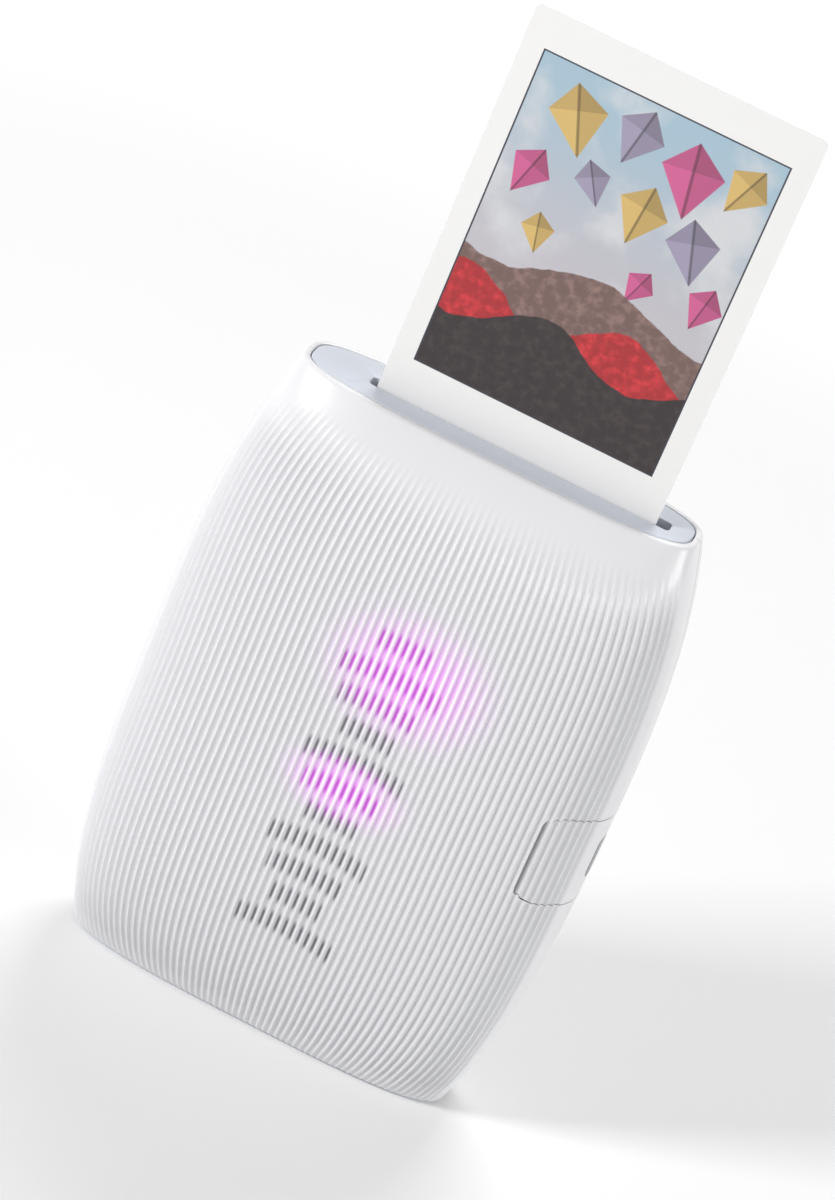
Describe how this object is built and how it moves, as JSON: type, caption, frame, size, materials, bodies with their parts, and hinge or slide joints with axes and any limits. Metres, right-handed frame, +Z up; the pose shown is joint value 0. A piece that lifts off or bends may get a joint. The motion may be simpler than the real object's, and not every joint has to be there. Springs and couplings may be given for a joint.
{
  "type": "compact instant photo printer",
  "caption": "Handheld instant-film photo printer: fluted rounded case, print rising from the top slot, hinged film door with slide lock, side power button and charging port.",
  "frame": {"origin": "centre of the base face, on the surface it stands on", "axes": "+Z up towards the print slot, the fluted front faces -Y, the film door is on +Y, +X to the right seen from the front (the charging port side)"},
  "size_m": [0.09, 0.0374, 0.2015],
  "materials": {
    "shell": "fine satin moulding",
    "side_panel": "fine satin moulding",
    "cap": "smooth satin",
    "print_film": "glossy picture in a satin white border",
    "pack_black": "fine grain",
    "film_sheets": "glossy",
    "chassis_grey": "fine grain",
    "steel": "plain",
    "roller_rubber": "ground",
    "seal_rubber": "felt-like",
    "gear_plastic": "smooth",
    "bush_brass": "turned",
    "battery_wrap": "wrapped pouch cell",
    "circuit_board": "solder mask",
    "chip_black": "moulded",
    "lens_clear": "clear",
    "light_white": "small lamps",
    "guide_milky": "milky",
    "port_steel": "bright"
  },
  "bodies": {
    "housing": {"front_cover": "shell", "rear_cover": "shell", "port_panel": "side_panel", "button_panel": "side_panel", "top_cap": "cap", "bottom_cap": "cap", "slot_seals": "seal_rubber", "film_pack_shell": "pack_black", "film_stack": "film_sheets", "pack_pressure_plate": "steel", "chassis": "chassis_grey", "case_screws": "steel", "board_screws": "steel", "hinge_pin": "steel", "roller_bushes": "bush_brass", "motor": "steel", "gear_plate": "steel", "exposure_head_housing": "chip_black", "exposure_lens_bar": "lens_clear", "exposure_light_strip": "light_white", "battery": "battery_wrap", "main_board": "circuit_board", "board_chips": "chip_black", "light_board": "circuit_board", "status_lights": "light_white", "light_guide": "guide_milky", "usb_socket": "port_steel", "usb_tongue": "chip_black", "port_board": "circuit_board", "switch_board": "circuit_board", "power_switch": "chip_black"},
    "print": {"photo_print": "print_film"},
    "drive_roller": {"drive_roller_shaft": "steel", "drive_roller_rubber": "roller_rubber", "drive_roller_gear": "gear_plastic"},
    "pinch_roller": {"pinch_roller_shaft": "steel", "pinch_roller_rubber": "roller_rubber", "pinch_roller_gear": "gear_plastic"},
    "idler": {"idler_gear": "gear_plastic"},
    "reduction": {"reduction_gear": "gear_plastic"},
    "rotor": {"motor_shaft": "steel", "motor_pinion": "bush_brass"},
    "door": {"film_door": "shell", "pressure_pads": "chassis_grey"},
    "lock": {"door_lock": "cap"},
    "button": {"power_button": "side_panel"},
    "pick": {"film_pick": "steel"}
  },
  "joints": [
    {"name": "print_feed", "type": "slide", "parent": "housing", "child": "print", "axis": [0, 0, 1], "range_m": [-0.096, 0.0015]},
    {"name": "drive_roller_spin", "type": "hinge", "parent": "housing", "child": "drive_roller", "pos_m": [0, -0.00505, 0.117], "axis": [1, 0, 0], "range_deg": [-1784, 29]},
    {"name": "pinch_roller_spin", "type": "hinge", "parent": "housing", "child": "pinch_roller", "pos_m": [0, 0.00145, 0.117], "axis": [1, 0, 0], "range_deg": [-29, 1784]},
    {"name": "idler_spin", "type": "hinge", "parent": "housing", "child": "idler", "pos_m": [0, -0.00425, 0.10829], "axis": [1, 0, 0], "range_deg": [-18, 1055]},
    {"name": "reduction_spin", "type": "hinge", "parent": "housing", "child": "reduction", "pos_m": [0, -0.00245, 0.09998], "axis": [1, 0, 0], "range_deg": [-1933, 32]},
    {"name": "motor_spin", "type": "hinge", "parent": "housing", "child": "rotor", "pos_m": [0, -0.0087, 0.09217], "axis": [1, 0, 0], "range_deg": [-92, 5796]},
    {"name": "door_swing", "type": "hinge", "parent": "housing", "child": "door", "pos_m": [0, 0.01326, 0.012], "axis": [-1, 0, 0], "range_deg": [0, 90]},
    {"name": "lock_slide", "type": "slide", "parent": "housing", "child": "lock", "axis": [1, 0, 0], "range_m": [0, 0.003]},
    {"name": "power_press", "type": "slide", "parent": "housing", "child": "button", "axis": [1, 0, 0], "range_m": [0, 0.0004], "stiffness_N_per_m": 1000, "springref_m": -0.0005},
    {"name": "pick_lift", "type": "slide", "parent": "housing", "child": "pick", "axis": [0, 0, 1], "range_m": [0, 0.008], "stiffness_N_per_m": 20, "springref_m": -0.004}
  ],
  "couplings": [
    {"joint": "drive_roller_spin", "follows": "print_feed", "rad_per_m": 324.15},
    {"joint": "pinch_roller_spin", "follows": "print_feed", "rad_per_m": -324.15},
    {"joint": "idler_spin", "follows": "print_feed", "rad_per_m": -191.54},
    {"joint": "reduction_spin", "follows": "print_feed", "rad_per_m": 351.16},
    {"joint": "motor_spin", "follows": "print_feed", "rad_per_m": -1053.5}
  ]
}
